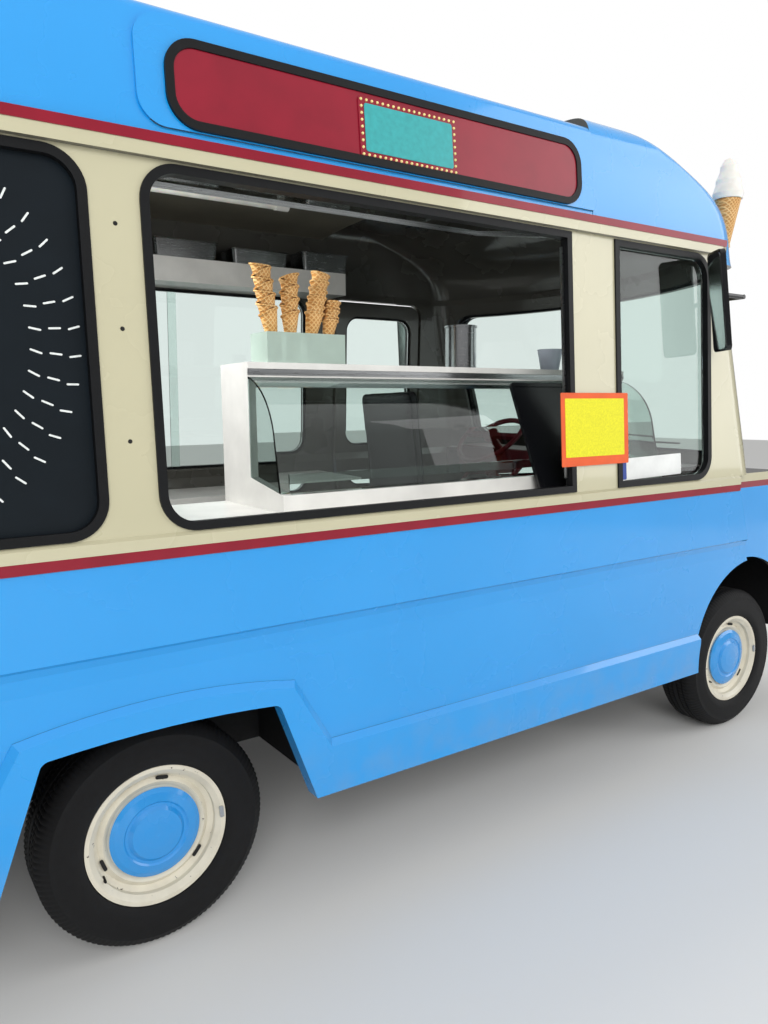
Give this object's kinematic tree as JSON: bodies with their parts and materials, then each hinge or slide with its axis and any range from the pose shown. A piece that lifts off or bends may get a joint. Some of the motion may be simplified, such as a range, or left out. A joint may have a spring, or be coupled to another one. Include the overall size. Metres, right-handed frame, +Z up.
{
  "type": "ice cream truck",
  "caption": "Ice cream van with a forward cab, high roof with a domed front, serving hatch, scooping cabinet, roof cones, opening door and bonnet, steered wheels.",
  "frame": {"origin": "on the ground under the middle of the overall length and width", "axes": "+X forward, +Y to the truck's left, +Z up"},
  "size_m": [4.632, 2.2092, 2.512],
  "materials": {
    "sky_blue_paint": "gloss",
    "cream_paint": "gloss",
    "crimson_paint": "gloss",
    "underbody_paint": "matte",
    "wheel_paint": "satin",
    "hub_cap_paint": "satin",
    "bumper_paint": "satin",
    "tyre": "matte",
    "black_rubber": "matte",
    "black_plastic": "satin",
    "cast_iron": "matte",
    "exhaust_steel": "matte",
    "window_glass": "gloss",
    "lamp_glass": "gloss",
    "frosted_glass": "satin",
    "chrome": "gloss",
    "amber_lens": "gloss",
    "chalkboard": "matte",
    "hatch_aluminium": "satin",
    "cabinet_white": "gloss",
    "tray_steel": "satin",
    "wafer": "matte",
    "swirl_white": "gloss",
    "seat_vinyl": "satin",
    "dash_maroon": "satin",
    "floor_grey": "matte"
  },
  "bodies": {
    "truck": {"chassis_frame": "underbody_paint", "rear_axle": "underbody_paint", "front_suspension": "underbody_paint", "engine_block": "cast_iron", "exhaust": "exhaust_steel", "fuel_tank": "underbody_paint", "lower_side_right": "sky_blue_paint", "lower_side_left": "sky_blue_paint", "upper_side_right": "cream_paint", "upper_side_left": "cream_paint", "rear_wall": "sky_blue_paint", "stripes": "crimson_paint", "roof": "sky_blue_paint", "sign_rubber": "black_rubber", "sign_panels": "crimson_paint", "roof_cap": "sky_blue_paint", "windscreen_surround": "cream_paint", "window_seals": "black_rubber", "windscreen": "window_glass", "body_glass": "window_glass", "hatch_frame": "hatch_aluminium", "hatch_glass": "window_glass", "chalkboards": "chalkboard", "front_cowl": "sky_blue_paint", "grille": "black_plastic", "headlamps": "chrome", "headlamp_lenses": "lamp_glass", "signal_lamps": "amber_lens", "bumpers": "bumper_paint", "hinges": "chrome", "mirrors": "black_plastic", "roof_cones": "wafer", "roof_swirls": "swirl_white", "floor": "floor_grey", "display_cabinet": "cabinet_white", "display_tubs": "tray_steel", "display_glass": "window_glass", "cone_holder": "frosted_glass", "back_counter": "cabinet_white", "driver_seat": "seat_vinyl", "dashboard": "dash_maroon"},
    "wheel_front_right": {"tyre_front_right": "tyre", "rim_front_right": "wheel_paint", "hub_cap_front_right": "hub_cap_paint"},
    "wheel_front_left": {"tyre_front_left": "tyre", "rim_front_left": "wheel_paint", "hub_cap_front_left": "hub_cap_paint"},
    "wheel_rear_right": {"tyre_rear_right": "tyre", "rim_rear_right": "wheel_paint", "hub_cap_rear_right": "hub_cap_paint"},
    "wheel_rear_left": {"tyre_rear_left": "tyre", "rim_rear_left": "wheel_paint", "hub_cap_rear_left": "hub_cap_paint"},
    "knuckle_right": {"knuckle_right": "cast_iron"},
    "knuckle_left": {"knuckle_left": "cast_iron"},
    "driver_door": {"driver_door": "sky_blue_paint", "door_glass": "window_glass", "door_seal": "black_rubber"},
    "bonnet": {"bonnet": "sky_blue_paint"}
  },
  "joints": [
    {"name": "steer_left", "type": "hinge", "parent": "truck", "child": "knuckle_left", "pos_m": [1.536, 0.7, 0.322], "axis": [0, 0, 1], "range_deg": [-30, 30]},
    {"name": "steer_right", "type": "hinge", "parent": "truck", "child": "knuckle_right", "pos_m": [1.536, -0.7, 0.322], "axis": [0, 0, 1], "range_deg": [-30, 30]},
    {"name": "spin_front_left", "type": "hinge", "parent": "knuckle_left", "child": "wheel_front_left", "pos_m": [1.536, 0.82, 0.322], "axis": [0, 1, 0], "continuous": true},
    {"name": "spin_rear_left", "type": "hinge", "parent": "truck", "child": "wheel_rear_left", "pos_m": [-1.156, 0.78, 0.322], "axis": [0, 1, 0], "continuous": true},
    {"name": "spin_front_right", "type": "hinge", "parent": "knuckle_right", "child": "wheel_front_right", "pos_m": [1.536, -0.82, 0.322], "axis": [0, 1, 0], "continuous": true},
    {"name": "spin_rear_right", "type": "hinge", "parent": "truck", "child": "wheel_rear_right", "pos_m": [-1.156, -0.78, 0.322], "axis": [0, 1, 0], "continuous": true},
    {"name": "door_hinge", "type": "hinge", "parent": "truck", "child": "driver_door", "pos_m": [1.11, 1.012, 0.875], "axis": [0, 0, -1], "range_deg": [0, 70]},
    {"name": "bonnet_hinge", "type": "hinge", "parent": "truck", "child": "bonnet", "pos_m": [1.80299, 0, 1.18843], "axis": [0, -1, 0], "range_deg": [0, 60]}
  ],
  "couplings": [
    {"joint": "steer_right", "follows": "steer_left", "ratio": 1}
  ]
}
